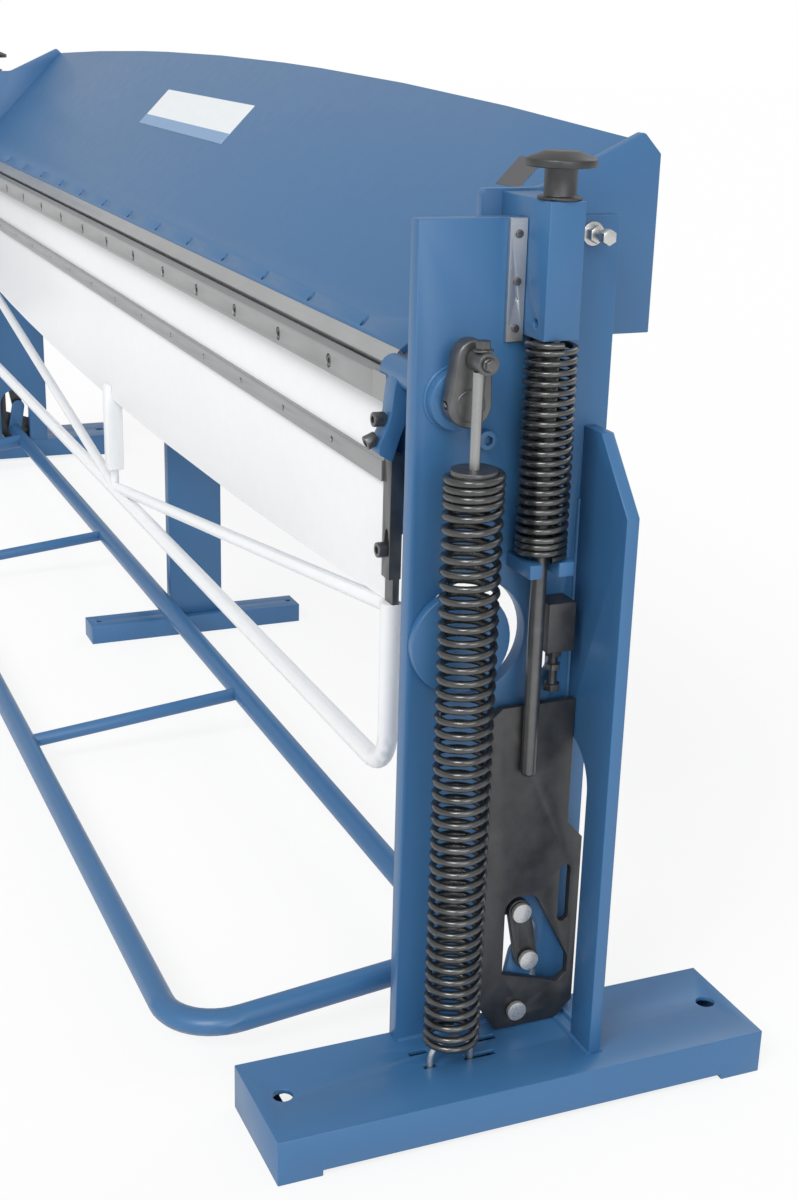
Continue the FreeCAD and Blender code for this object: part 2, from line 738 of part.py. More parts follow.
def bending_strip():
    y0 = bend_plate_front_y - strip_proud
    return block(-bend_half, bend_half, y0, bend_plate_front_y, strip_low_z, strip_low_z + strip_height)


def bending_bracket():
    """Curved cheek on the end of the blade, which carries the pivot shaft."""
    rear = fold_y + bracket_rear
    top = fold_z + bracket_top
    bottom = fold_z - bracket_bottom
    height = top - bottom
    front = fold_y - bracket_bulge
    outline = [(rear, top, 5), (fold_y + bracket_rear * 0.4, top, 4),
               (fold_y - bracket_bulge * 0.3, fold_z - 2, 6),
               (fold_y - bracket_bulge * 0.6, bottom + height * 0.5, 20),
               (front, bottom + height * 0.26, 10), (front, bottom + height * 0.1, 10),
               (fold_y - bracket_bulge * 0.4, bottom), (rear, bottom)]
    return plate_x(outline, bend_half, bend_half + bracket_thickness)


def end_bar():
    """Steel bar on the end of the leaf, from the cheek down to the truss."""
    x1 = bend_half + end_bar_width
    foot_z = end_bar_bottom_z + end_bar_foot_height
    upper = block(bend_half, x1, end_bar_front_y, end_bar_rear_y, foot_z, end_bar_top_z)
    lower = block(bend_half, x1, end_bar_front_y + 6, end_bar_rear_y - 2, end_bar_bottom_z, foot_z)
    return upper.fuse(lower).removeSplitter()


truss_end_x = bend_half + end_bar_width / 2


def truss_tube():
    """Lower chord of the truss, bent up at both ends to the end bars."""
    return bent_tube([(truss_end_x, truss_y, end_bar_bottom_z), (truss_end_x, truss_y, truss_z),
                      (-truss_end_x, truss_y, truss_z), (-truss_end_x, truss_y, end_bar_bottom_z)],
                     truss_tube_r, truss_bend)


def truss_diagonals():
    """Two braces from the chord's middle to the leaf's lower corners."""
    top = (bend_half - 5, truss_y, bend_plate_end_z - truss_tube_r * 0.6)
    brace = bar((0, truss_y, truss_z + 6), top, truss_tube_r - 3)
    brace = brace.fuse(mirrored(brace)).removeSplitter()
    return brace.cut([truss_tube(), bending_plate(), end_bar(), mirrored(end_bar())])


def truss_post():
    """Centre post with its adjusting neck."""
    half = truss_post_width / 2
    post = block(-half, half, truss_y - half, truss_y + half, truss_post_bottom_z, bend_plate_middle_z + 30)
    neck = bar((0, truss_y, truss_z), (0, truss_y, truss_post_bottom_z + reach), truss_neck_r)
    return post.fuse(neck).cut([truss_tube(), truss_diagonals(), bending_plate()]).removeSplitter()


def pivot_crank():
    """Pivot shaft from the cheek through the upright, with the crank lever and its pin."""
    x1 = lever_x + lever_thickness
    shaft = bar((bend_half + bracket_thickness, fold_y, fold_z), (x1, fold_y, fold_z), shaft_r)
    lever = arm((fold_y, fold_z), lever_end_r, (lever_pin_y, lever_pin_z), lever_pin_r, lever_x, x1)
    pin = bar((x1 - reach, lever_pin_y, lever_pin_z),
              (spring_x + eye_length / 2 + 3, lever_pin_y, lever_pin_z), crank_pin_r)
    return shaft.fuse([lever, pin]).removeSplitter()


def eye_rod():
    """Eye on the crank pin, with the rod and the cap that pull the balance spring."""
    z = lever_pin_z
    x0 = spring_x - eye_length / 2
    eye = bar((x0, lever_pin_y, z), (x0 + eye_length, lever_pin_y, z), eye_r)
    low = (spring_x, spring_y, spring_top_z - cap_thickness)
    rod = bar(low, (spring_x, lever_pin_y, z), eye_rod_r)
    cap = bar(low, (spring_x, spring_y, spring_top_z), spring_r - spring_wire - cap_gap)
    bore = bar((x0 - reach, lever_pin_y, z), (x0 + eye_length + reach, lever_pin_y, z), crank_pin_r + pin_clearance)
    return eye.fuse([rod, cap]).cut(bore).removeSplitter()


def balance_spring():
    return sleeve(spring_x, spring_y, spring_bottom_z, spring_top_z, spring_r, spring_r - spring_wire)


def spring_hook():
    """Bright hook from the spring's last turn, through the foot's slots and round its saddle."""
    top = spring_bottom_z - seat_gap
    corners = polygon(spring_x, spring_y + hook_r, hook_wire_r, 8)
    face = Part.Face(outline(corners, lambda a, b: V(a, b, hook_pivot_z)))
    leg = face.extrude(V(0, 0, top - hook_pivot_z))
    bend = face.revolve(V(spring_x, spring_y, hook_pivot_z), V(-1, 0, 0), 180)
    far_leg = leg.copy()
    far_leg.translate(V(0, -2 * hook_r, 0))
    return leg.fuse([bend, far_leg]).removeSplitter()


def lift_spring():
    z1 = slider_bottom_z - seat_gap
    return sleeve(rod_x, rod_y, seat_top_z, z1, lift_spring_r, lift_spring_r - lift_spring_wire)


def write_parts():
    """One file per sub-part; pairs on one body share a file as separate solids."""
    os.makedirs("parts", exist_ok=True)
    pieces = {}
    paired = {"end_foot": end_foot, "upright": upright, "rear_rib": rear_rib, "toggle_plate": toggle_plate,
              "toggle_link": toggle_link, "eye_rod": eye_rod, "balance_spring": balance_spring,
              "spring_hook": spring_hook}
    for name, make in paired.items():
        shape = make()
        pieces[name + "_right"] = shape
        pieces[name + "_left"] = mirrored(shape)
    shared = {"hub_discs": hub_disc, "spring_seats": spring_seat, "guide_strips": guide_strip,
              "stop_blocks": stop_block, "lift_springs": lift_spring, "clamp_end_plates": clamp_end_plate,
              "clamp_rods": clamp_rod, "slider_blocks": slider_block, "knobs": knob,
              "bending_brackets": bending_bracket, "end_bars": end_bar, "pivot_cranks": pivot_crank,
              "pedal_cranks": pedal_crank}
    for name, make in shared.items():
        pieces[name] = both(make())
    single = [middle_foot, middle_column, beam_front_web, beam_rear_web, beam_bottom_plate, table_plate, table_blade,
              clamp_plate, clamp_blade, clamp_base_plate, clamp_rear_web, bending_plate, bending_blade, bending_strip,
              truss_tube, truss_diagonals, truss_post, pedal_tube, pedal_bar]
    for make in single:
        pieces[make.__name__] = make()
    pieces["pedal_rungs"] = Part.makeCompound([pedal_rung(rung_x), pedal_rung(-rung_x)])
    volume = 0
    for name, shape in pieces.items():
        volume += shape.Volume
        shape.exportStep(os.path.join("parts", name + ".step"))
        print(name, len(shape.Solids), shape.isValid(), round(shape.Volume / 1000))
    print("solid volume in litres", round(volume / 1e6, 1))


def print_toggle():
    """Turns of link and pedal at the clamp's full lift, from the knee's triangle."""
    upper = math.hypot(knee_y - pin_a_y, pin_a_z - knee_z)
    lower = math.hypot(knee_y - pin_a_y, knee_z - pin_c_z)
    for lift in (0, clamp_travel / 2, clamp_travel):
        span = pin_a_z - pin_c_z - lift
        at_a = math.acos((upper ** 2 + span ** 2 - lower ** 2) / (2 * upper * span))
        at_c = math.acos((lower ** 2 + span ** 2 - upper ** 2) / (2 * lower * span))
        print("lift", lift, "link", round(at_a, 5), "pedal", round(at_c, 5))


write_parts()
print_toggle()
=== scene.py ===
"""Looks of a manual sheet metal folding machine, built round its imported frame. Metres, Z up."""

import json
import math

import bpy
from mathutils import Matrix, Vector

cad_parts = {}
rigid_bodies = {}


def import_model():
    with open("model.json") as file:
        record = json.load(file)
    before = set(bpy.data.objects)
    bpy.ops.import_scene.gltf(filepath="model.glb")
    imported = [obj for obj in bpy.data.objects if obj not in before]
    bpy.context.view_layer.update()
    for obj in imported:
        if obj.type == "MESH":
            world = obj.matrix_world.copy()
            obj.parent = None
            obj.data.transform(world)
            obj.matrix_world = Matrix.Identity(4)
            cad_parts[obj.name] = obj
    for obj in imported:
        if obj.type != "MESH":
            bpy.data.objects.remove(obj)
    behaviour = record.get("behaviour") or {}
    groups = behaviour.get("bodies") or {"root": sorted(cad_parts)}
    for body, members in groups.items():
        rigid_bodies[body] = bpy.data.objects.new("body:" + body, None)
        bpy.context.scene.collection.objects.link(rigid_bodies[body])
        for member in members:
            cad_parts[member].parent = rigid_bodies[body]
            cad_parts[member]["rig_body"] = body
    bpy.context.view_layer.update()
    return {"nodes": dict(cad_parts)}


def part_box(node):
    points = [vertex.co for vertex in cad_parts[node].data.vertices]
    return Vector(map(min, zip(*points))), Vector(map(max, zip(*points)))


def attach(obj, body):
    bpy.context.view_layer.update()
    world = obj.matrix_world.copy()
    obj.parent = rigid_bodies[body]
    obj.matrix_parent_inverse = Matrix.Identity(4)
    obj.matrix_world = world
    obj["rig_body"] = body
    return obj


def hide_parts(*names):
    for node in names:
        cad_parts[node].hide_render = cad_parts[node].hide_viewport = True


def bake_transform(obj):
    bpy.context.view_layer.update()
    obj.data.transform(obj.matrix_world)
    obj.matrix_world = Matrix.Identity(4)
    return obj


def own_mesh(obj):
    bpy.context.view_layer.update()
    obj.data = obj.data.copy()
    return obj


bl_info = {
    "name": "Sheet metal folder",
    "version": (1, 0, 0),
    "blender": (4, 5, 0),
    "location": "View3D > Sidebar > Folder",
    "description": "Dresses a manual folding machine: paint, steel, coils, screws and the studio",
    "category": "Object",
}

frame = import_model()

# Directions: two of them lie on the slope of the clamp plate and square to it
CLAMP_ANGLE = math.radians(45.6)
ALONG = Vector((0, math.cos(CLAMP_ANGLE), math.sin(CLAMP_ANGLE)))
OUT = Vector((0, -math.sin(CLAMP_ANGLE), math.cos(CLAMP_ANGLE)))
X_AXIS = Vector((1, 0, 0))
FRONT = Vector((0, -1, 0))
UP = Vector((0, 0, 1))

# Places of the CAD source that no box in the frame gives
CLAMP_SEAM = Vector((0, -0.0392, 0.9554))
FOLD_Y = -0.058
EYE_PIN_Y = -0.055
EYE_PIN_Z = 0.993
HUB_RAISE = 0.015
EYE_PIN_REACH = 0.040

# Where the photograph shows the ends of the blade, the cheeks and the pivot sleeves
BLADE_END_LENGTH = 0.045
CHEEK_SHIFT = 0.057
SLEEVE_INSET = 0.006
CHEEK_OUTLINE = [(-0.040, 0.936), (-0.057, 0.952), (-0.066, 0.952), (-0.0755, 0.941), (-0.0795, 0.922),
                 (-0.0815, 0.904), (-0.083, 0.888), (-0.090, 0.868), (-0.0985, 0.852), (-0.099, 0.840),
                 (-0.080, 0.828), (-0.071, 0.857), (-0.062, 0.880), (-0.040, 0.888)]

# Places read from the frame
fold_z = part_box("table_plate")[1].z
blade_low, blade_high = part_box("bending_blade")
strip_low, strip_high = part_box("bending_strip")
spring_low, spring_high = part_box("balance_spring_right")
lift_low, lift_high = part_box("lift_springs")
rod_y = (lift_low.y + lift_high.y) / 2
slider_low, slider_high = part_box("slider_blocks")
guide_low, guide_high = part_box("guide_strips")
guide_y = (guide_low.y + guide_high.y) / 2
bar_low, bar_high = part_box("end_bars")
foot_low, foot_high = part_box("end_foot_right")
eye_low, eye_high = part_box("eye_rod_right")
cheek_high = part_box("bending_brackets")[1]
cheek_end_x = cheek_high.x + CHEEK_SHIFT
crank_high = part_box("pivot_cranks")[1]
lever_face_x = crank_high.x - EYE_PIN_REACH
upright_face_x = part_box("hub_discs")[1].x - HUB_RAISE
sleeve_end_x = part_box("hub_discs")[1].x - SLEEVE_INSET

# Camera fitted to the photograph
CAMERA_PLACE = (3.568683, -0.901939, 1.370021)
CAMERA_YAW = math.radians(156.87078813682845)
CAMERA_PITCH = math.radians(-19.6425492842484)
CAMERA_ROLL = math.radians(1.5015216918966552)
CAMERA_FOCAL = 1715.467
IMAGE_WIDTH = 798
IMAGE_HEIGHT = 1200
IMAGE_CENTRE_X = 395.283
IMAGE_CENTRE_Y = 621.03
SENSOR = 36.0


class Socket:
    """One value in a finish. Sums, products and the like of it add Math nodes."""

    def __init__(self, finish, link):
        self.finish = finish
        self.link = link

    def _math(self, operation, first, second):
        return self.finish.add("ShaderNodeMath", {"operation": operation}, {0: first, 1: second})

    def __add__(self, other):
        return self._math("ADD", self, other)

    def __radd__(self, other):
        return self._math("ADD", other, self)

    def __sub__(self, other):
        return self._math("SUBTRACT", self, other)

    def __mul__(self, other):
        return self._math("MULTIPLY", self, other)

    def __pow__(self, other):
        return self._math("POWER", self, other)


class Finish:
    """A material whose nodes are added by one method."""

    def __init__(self, name):
        self.material = bpy.data.materials.new(name)
        self.material.use_nodes = True
        self.tree = self.material.node_tree
        self.tree.nodes.clear()

    def add(self, kind, settings=None, inputs=None, output=0):
        """A node of that type, with its settings made first, then its sockets' values or links."""
        node = self.tree.nodes.new(kind)
        for key, value in (settings or {}).items():
            setattr(node, key, value)
        for key, value in (inputs or {}).items():
            if isinstance(value, Socket):
                self.tree.links.new(value.link, node.inputs[key])
            else:
                node.inputs[key].default_value = value
        return Socket(self, node.outputs[output])

    def place(self, scale=(1, 1, 1)):
        """Object coordinates, stretched by scale."""
        coordinates = self.add("ShaderNodeTexCoord", output=3)
        return self.add("ShaderNodeMapping", inputs={"Vector": coordinates, "Scale": scale})

    def noise(self, scale, detail=3.0, stretch=(1, 1, 1)):
        """A grey noise value, 0 to 1, with so many grains to the metre."""
        return self.add("ShaderNodeTexNoise", inputs={"Vector": self.place(stretch), "Scale": scale,
                                                      "Detail": detail})

    def mix(self, factor, first, second):
        """A colour between two."""
        return self.add("ShaderNodeMix", {"data_type": "RGBA"}, {0: factor, 6: first, 7: second}, output=2)

    def bump(self, height, strength, distance):
        """A normal from a height value."""
        return self.add("ShaderNodeBump", inputs={"Height": height, "Strength": strength, "Distance": distance})

    def close(self, **sockets):
        """The surface shader and the output, with sockets named in words."""
        named = {key.replace("_", " "): value for key, value in sockets.items()}
        surface = self.add("ShaderNodeBsdfPrincipled", inputs=named)
        out = self.tree.nodes.new("ShaderNodeOutputMaterial")
        self.tree.links.new(surface.link, out.inputs["Surface"])
        return self.material


def shade(colour, factor):
    """The colour made lighter or darker."""
    return (colour[0] * factor, colour[1] * factor, colour[2] * factor, 1.0)


def enamel(name, colour, roughness):
    """Sprayed enamel: faint orange peel, slow change of tone and gloss."""
    f = Finish(name)
    cloud = f.noise(2.3, detail=2.0)
    peel = f.noise(420.0, detail=2.0)
    grain = f.noise(35.0, detail=4.0)
    base = f.mix(cloud * 0.6 + grain * 0.4, shade(colour, 0.93), shade(colour, 1.07))
    return f.close(Base_Color=base, Roughness=roughness + (grain - 0.5) * 0.12, Coat_Weight=0.15,
                   Coat_Roughness=0.2, Normal=f.bump(peel, 0.06, 0.0006))


def ground_steel(name, colour, roughness, stretch, metal=0.85):
    """Ground steel with fine lines along one way and faint stains."""
    f = Finish(name)
    lines = f.noise(1.0, detail=6.0, stretch=stretch)
    stains = f.noise(11.0, detail=4.0)
    patches = f.noise(3.2, detail=5.0, stretch=(1, 4, 4))
    base = f.mix(lines * 0.4 + stains * 0.3 + patches * 0.3, shade(colour, 0.62), shade(colour, 1.18))
    return f.close(Base_Color=base, Metallic=metal, Roughness=roughness + (lines - 0.5) * 0.25,
                   Normal=f.bump(lines, 0.12, 0.0004))


def dark_steel(name, colour, roughness, metal):
    """Black-oxide steel: blotchy, with a dull sheen."""
    f = Finish(name)
    blotch = f.noise(38.0, detail=6.0)
    fine = f.noise(600.0, detail=2.0)
    rubbed = shade(colour, 1.65)
    base = f.mix(blotch ** 1.4, shade(colour, 0.7), rubbed)
    return f.close(Base_Color=base, Metallic=metal, Roughness=roughness + (blotch - 0.5) * 0.3,
                   Normal=f.bump(blotch * 0.7 + fine * 0.3, 0.15, 0.0005))


def plain_label(name, colour, edge):
    """A bare label: one field with a faint change of tone."""
    f = Finish(name)
    tone = f.noise(60.0, detail=2.0)
    return f.close(Base_Color=f.mix(tone, shade(colour, 0.95), shade(colour, edge)), Roughness=0.35,
                   Coat_Weight=0.3)


def paper_floor(name, colour, glow):
    """Pale studio paper that shows light to the camera and keeps the shadow."""
    f = Finish(name)
    grain = f.noise(30.0, detail=3.0)
    cloud = f.mix(grain, shade(colour, 0.99), shade(colour, 1.01))
    diffuse = f.add("ShaderNodeBsdfDiffuse", inputs={"Color": cloud})
    light = f.add("ShaderNodeEmission", inputs={"Color": (1, 1, 1, 1), "Strength": 1.0})
    camera_ray = f.add("ShaderNodeLightPath", output="Is Camera Ray")
    glossy_ray = f.add("ShaderNodeLightPath", output="Is Glossy Ray")
    share = (camera_ray + glossy_ray) * glow
    surface = f.add("ShaderNodeMixShader", inputs={0: share, 1: diffuse, 2: light})
    out = f.tree.nodes.new("ShaderNodeOutputMaterial")
    f.tree.links.new(surface.link, out.inputs["Surface"])
    return f.material


class FolderFinishSettings(bpy.types.PropertyGroup):
    """Colours of the finishes."""

    blue: bpy.props.FloatVectorProperty(name="Blue", description="Machine enamel", subtype="COLOR",
                                        default=(0.036, 0.132, 0.290), min=0, max=1)
    white: bpy.props.FloatVectorProperty(name="White", description="Enamel of the leaf and its truss",
                                         subtype="COLOR", default=(0.84, 0.85, 0.86), min=0, max=1)
    bright: bpy.props.FloatVectorProperty(name="Bright steel", description="Blades, strips and pins",
                                          subtype="COLOR", default=(0.60, 0.605, 0.61), min=0, max=1)
    dark: bpy.props.FloatVectorProperty(name="Dark steel", description="Plates, rods and knobs",
                                        subtype="COLOR", default=(0.070, 0.071, 0.073), min=0, max=1)
    coil: bpy.props.FloatVectorProperty(name="Spring steel", description="Oiled spring wire", subtype="COLOR",
                                        default=(0.100, 0.101, 0.102), min=0, max=1)
    worn: bpy.props.FloatVectorProperty(name="Worn steel", description="Levers, rods and end bars",
                                        subtype="COLOR", default=(0.130, 0.131, 0.133), min=0, max=1)
    easing: bpy.props.FloatProperty(name="Edge easing", description="Radius of painted plate edges",
                                    subtype="DISTANCE", default=0.0012, min=0)


class FolderSpringSettings(bpy.types.PropertyGroup):
    """Sizes of the coils."""

    balance_wire: bpy.props.FloatProperty(name="Balance wire", description="Wire of the balance spring",
                                          subtype="DISTANCE", default=0.0098)
    balance_pitch: bpy.props.FloatProperty(name="Balance pitch", description="Rise of one open turn",
                                           subtype="DISTANCE", default=0.0172)
    closed_turns: bpy.props.IntProperty(name="Closed turns", description="Turns that touch at the top",
                                        default=4)
    lift_wire: bpy.props.FloatProperty(name="Lift wire", description="Wire of the lift spring",
                                       subtype="DISTANCE", default=0.0084)
    lift_pitch: bpy.props.FloatProperty(name="Lift pitch", description="Rise of one open turn",
                                        subtype="DISTANCE", default=0.0122)


class FolderScrewSettings(bpy.types.PropertyGroup):
    """Pitches of the screw rows."""

    blade_step: bpy.props.FloatProperty(name="Blade screw step", description="Between blade screws",
                                        subtype="DISTANCE", default=0.2126)
    plate_step: bpy.props.FloatProperty(name="Plate bolt step", description="Between bolts of the clamp blade",
                                        subtype="DISTANCE", default=0.2136)
    strip_step: bpy.props.FloatProperty(name="Strip screw step", description="Between small strip screws",
                                        subtype="DISTANCE", default=0.209)


class FolderStageSettings(bpy.types.PropertyGroup):
    """Studio light."""

    sky: bpy.props.FloatProperty(name="Sky", description="Strength of the even light", default=0.62)
    key: bpy.props.FloatProperty(name="Key", description="Strength of the soft sun", default=1.5)


def clear_selection():
    """Leaves edit mode and deselects everything."""
    if bpy.context.object and bpy.context.object.mode != "OBJECT":
        bpy.ops.object.mode_set(mode="OBJECT")
    bpy.ops.object.select_all(action="DESELECT")


def take(*objects):
    """Selects these objects alone, the first active."""
    clear_selection()
    for o in objects:
        o.select_set(True)
    bpy.context.view_layer.objects.active = objects[0]


def settle(o):
    """Puts the object at the origin, with its place in its mesh."""
    take(o)
    bpy.ops.object.transform_apply(location=True, rotation=True, scale=True)


def apply_all(o):
    """Applies each modifier in order."""
    take(o)
    for modifier in list(o.modifiers):
        bpy.ops.object.modifier_apply(modifier=modifier.name)


def ease(o, width, segments=2, angle=35):
    """Rounds the sharp edges and smooths the rest."""
    bevel = o.modifiers.new("ease", "BEVEL")
    bevel.width = width
    bevel.segments = segments
    bevel.limit_method = "ANGLE"
    bevel.angle_limit = math.radians(angle)
    bevel.use_clamp_overlap = False
    apply_all(o)
    smooth(o, angle)


def smooth(o, angle=35):
    """Smooth shading but across sharp edges."""
    take(o)
    bpy.ops.object.shade_smooth_by_angle(angle=math.radians(angle))


def joined(objects, name):
    """One object of several."""
    take(*objects)
    if len(objects) > 1:
        bpy.ops.object.join()
    o = bpy.context.object
    o.name = name
    return o


def mirror_copy(o):
    """A copy of the object at the machine's other end, turned right side out."""
    take(o)
    bpy.ops.object.duplicate()
    twin = bpy.context.object
    bpy.ops.object.mode_set(mode="EDIT")
    bpy.ops.mesh.select_all(action="SELECT")
    bpy.ops.transform.resize(value=(-1, 1, 1), center_override=(0, 0, 0))
    bpy.ops.mesh.flip_normals()
    bpy.ops.object.mode_set(mode="OBJECT")
    return twin


def both_ends(o, name):
    """The piece and its mirror as one object."""
    return joined([o, mirror_copy(o)], name)


def seat(o, name, body, material):
    """Names a finished piece, gives it its finish and lets it ride."""
    settle(o)
    o.name = name
    o.data.materials.clear()
    o.data.materials.append(material)
    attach(o, body)
    return o


def pair(o, name, body, material):
    """Seats a piece and its mirror as one object."""
    return seat(both_ends(o, name), name, body, material)


def twins(o, name, body, material):
    """Seats a piece and its mirror as two objects, each on the body of its own side."""
    seat(o, name + "_right", body + "_right", material)
    seat(mirror_copy(o), name + "_left", body + "_left", material)


def turn_to(axis):
    """Rotation that lays Z along an axis."""
    return axis.to_track_quat("Z", "Y").to_euler()


def disc(place, axis, radius, height, sides=32):
    """A round or many-sided bar that stands on a place, along an axis."""
    clear_selection()
    centre = Vector(place) + axis * (height / 2)
    bpy.ops.mesh.primitive_cylinder_add(vertices=sides, radius=radius, depth=height, location=centre,
                                        rotation=turn_to(axis))
    o = bpy.context.object
    settle(o)
    return o


def slab(low, high):
    """Box between two corners."""
    clear_selection()
    middle = (Vector(low) + Vector(high)) / 2
    bpy.ops.mesh.primitive_cube_add(size=1, location=middle)
    o = bpy.context.object
    o.scale = Vector(high) - Vector(low)
    settle(o)
    return o


def unpick(o):
    """Takes the object with nothing of its mesh selected."""
    take(o)
    for part in (*o.data.polygons, *o.data.edges, *o.data.vertices):
        part.select = False


def pick_top(o, axis):
    """Enters edit mode with only the faces that look along an axis selected."""
    unpick(o)
    for face in o.data.polygons:
        face.select = face.normal.dot(axis) > 0.99
    bpy.ops.object.mode_set(mode="EDIT")
    bpy.ops.mesh.select_mode(type="FACE")


def pick_points(o, test):
    """Enters edit mode with only the points that pass a test selected."""
    unpick(o)
    for vertex in o.data.vertices:
        vertex.select = test(vertex.co)
    bpy.ops.object.mode_set(mode="EDIT")
    bpy.ops.mesh.select_mode(type="VERT")


def profile_plate(points, x0, x1, rounding):
    """Plate across X of a (y, z) outline with rounded corners."""
    clear_selection()
    bpy.ops.mesh.primitive_circle_add(vertices=len(points), fill_type="NGON")
    o = bpy.context.object
    for vertex, (y, z) in zip(o.data.vertices, points):
        vertex.co = (x0, y, z)
    bpy.ops.object.mode_set(mode="EDIT")
    bpy.ops.mesh.select_all(action="SELECT")
    bpy.ops.mesh.bevel(affect="VERTICES", offset=rounding, segments=4)
    bpy.ops.mesh.select_all(action="SELECT")
    bpy.ops.mesh.extrude_region_move(TRANSFORM_OT_translate={"value": (x1 - x0, 0, 0)})
    bpy.ops.mesh.select_all(action="SELECT")
    bpy.ops.mesh.normals_make_consistent(inside=False)
    bpy.ops.object.mode_set(mode="OBJECT")
    return o


def ring_bead(place, radius, thickness):
    """Weld bead round a boss that stands along X."""
    clear_selection()
    bpy.ops.mesh.primitive_torus_add(location=place, rotation=turn_to(X_AXIS), major_radius=radius,
                                     minor_radius=thickness, major_segments=64, minor_segments=8)
    o = bpy.context.object
    settle(o)
    smooth(o, 60)
    return o


def socket_screw(place, axis, radius, height):
    """Cap screw: round head with an eased rim and a six-sided socket."""
    head = disc(place, axis, radius, height, 24)
    ease(head, radius * 0.12)
    cutter = disc(Vector(place) + axis * height * 0.45, axis, radius * 0.55, height, 6)
    return bored(head, [cutter])


def hex_bolt(place, axis, across, height, washer=True):
    """Hexagon head on a washer, with a raised round face."""
    head = disc(place, axis, across / math.sqrt(3), height, 6)
    pick_top(head, axis)
    bpy.ops.mesh.inset(thickness=across * 0.06, depth=height * 0.04)
    bpy.ops.object.mode_set(mode="OBJECT")
    ease(head, across * 0.03)
    if not washer:
        return head
    ring = disc(place, axis, across * 0.75, height * 0.22, 32)
    ease(ring, height * 0.05)
    return joined([head, ring], "bolt")


def bored(o, cutters):
    """Cuts the cutters out of a piece."""
    tool = joined(cutters, "cutter")
    cut = o.modifiers.new("cut", "BOOLEAN")
    cut.operation = "DIFFERENCE"
    cut.solver = "EXACT"
    cut.object = tool
    apply_all(o)
    bpy.data.objects.remove(tool)
    return o


def skin(node):
    """A merged copy of a CAD node's mesh, as a new object."""
    clear_selection()
    o = bpy.data.objects.new(node + "_skin", frame["nodes"][node].data.copy())
    bpy.context.scene.collection.objects.link(o)
    take(o)
    bpy.ops.object.mode_set(mode="EDIT")
    bpy.ops.mesh.select_all(action="SELECT")
    bpy.ops.mesh.remove_doubles(threshold=0.00002)
    bpy.ops.mesh.dissolve_limited(angle_limit=math.radians(0.6))
    bpy.ops.object.mode_set(mode="OBJECT")
    return o


def dress(node, material, width, cutters=(), segments=2):
    """Stands an eased, finished copy in for a CAD node."""
    o = skin(node)
    if cutters:
        bored(o, list(cutters))
    ease(o, width, segments)
    seat(o, node + "_skin", frame["nodes"][node]["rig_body"], material)
    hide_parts(node)
    return o


def row(step, limit):
    """Places along X at odd half steps, both ways."""
    count = int(limit / step + 0.5)
    return [side * step * (k + 0.5) for k in range(count) for side in (1, -1)]


finishes = {}


class FOLDER_OT_finishes(bpy.types.Operator):
    """Makes the finishes"""

    bl_idname = "folder.finishes"
    bl_label = "Finishes"

    def execute(self, context):
        s = context.scene.folder_finish
        # The front finish is the bright steel colour darkened to 0.66: painted shade on the front-facing blade,
        # strip, blade ends and eye threads
        front, land = shade(s.bright, 0.66)[:3], shade(s.bright, 0.8)[:3]
        finishes.update({
            "blue": enamel("blue_enamel", s.blue, roughness=0.42),
            "white": enamel("white_enamel", s.white, roughness=0.4),
            "bright": ground_steel("ground_steel", s.bright, roughness=0.34, stretch=(9, 900, 900)),
            "front": ground_steel("ground_front", front, roughness=0.38, stretch=(14, 500, 500)),
            "land": ground_steel("table_land", land, roughness=0.4, stretch=(9, 900, 900), metal=0.25),
            "turned": ground_steel("turned_steel", s.bright, roughness=0.3, stretch=(300, 300, 300), metal=0.6),
            "dark": dark_steel("black_oxide", s.dark, roughness=0.42, metal=0.75),
            "coil": dark_steel("spring_steel", s.coil, roughness=0.26, metal=0.85),
            "worn": dark_steel("worn_steel", s.worn, roughness=0.36, metal=0.8),
            "zinc": ground_steel("zinc_plate", (0.66, 0.66, 0.65), roughness=0.3, stretch=(120, 120, 120)),
            # The shadow finish is near-black painted shadow, put on the small strip screw heads sunk in their
            # holes
            "shadow": dark_steel("painted_shadow_black", (0.012, 0.012, 0.013), roughness=0.6, metal=0.2),
            "label": plain_label("bare_label", (0.78, 0.82, 0.84), edge=1.03),
            "band": plain_label("label_band", (0.16, 0.30, 0.52), edge=1.05),
            "data": plain_label("bare_data_plate", (0.045, 0.045, 0.05), edge=1.3),
        })
        return {"FINISHED"}


def seat_forks():
    """Two lugs at each end, with the clamp rod between them."""
    seat_low, seat_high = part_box("spring_seats")
    half_gap = 0.0115
    lug_end_x = seat_high.x - 0.008
    lugs = []
    for front_y, back_y in ((seat_low.y + 0.012, rod_y - half_gap), (rod_y + half_gap, seat_high.y - 0.016)):
        lug = slab((upright_face_x, front_y, seat_low.z), (lug_end_x, back_y, seat_high.z))
        ease(lug, width=0.0008)
        lugs.append(lug)
    fork = pair(joined(lugs, "seat_forks"), "seat_forks", "stand", finishes["blue"])
    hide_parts("spring_seats")


class FOLDER_OT_stand(bpy.types.Operator):
    """Dresses the fixed stand: feet, uprights, ribs, lower beam and table"""

    bl_idname = "folder.stand"
    bl_label = "Stand"

    def execute(self, context):
        width = context.scene.folder_finish.easing
        for side in ("_right", "_left"):
            for node in ("end_foot", "upright", "rear_rib"):
                dress(node + side, finishes["blue"], width)
        for node in ("hub_discs", "middle_foot", "middle_column", "beam_front_web", "beam_rear_web",
                     "beam_bottom_plate"):
            dress(node, finishes["blue"], width)
        seat_forks()
        for node in ("table_plate", "table_blade"):
            dress(node, finishes["land"], width=0.0004)
        hole = disc((guide_high.x - 0.003, guide_y, 1.052), X_AXIS, radius=0.0026, height=0.01, sides=12)
        dress("guide_strips", finishes["bright"], width=0.0006, cutters=[hole])
        dress("stop_blocks", finishes["dark"], width=0.0008)
        return {"FINISHED"}


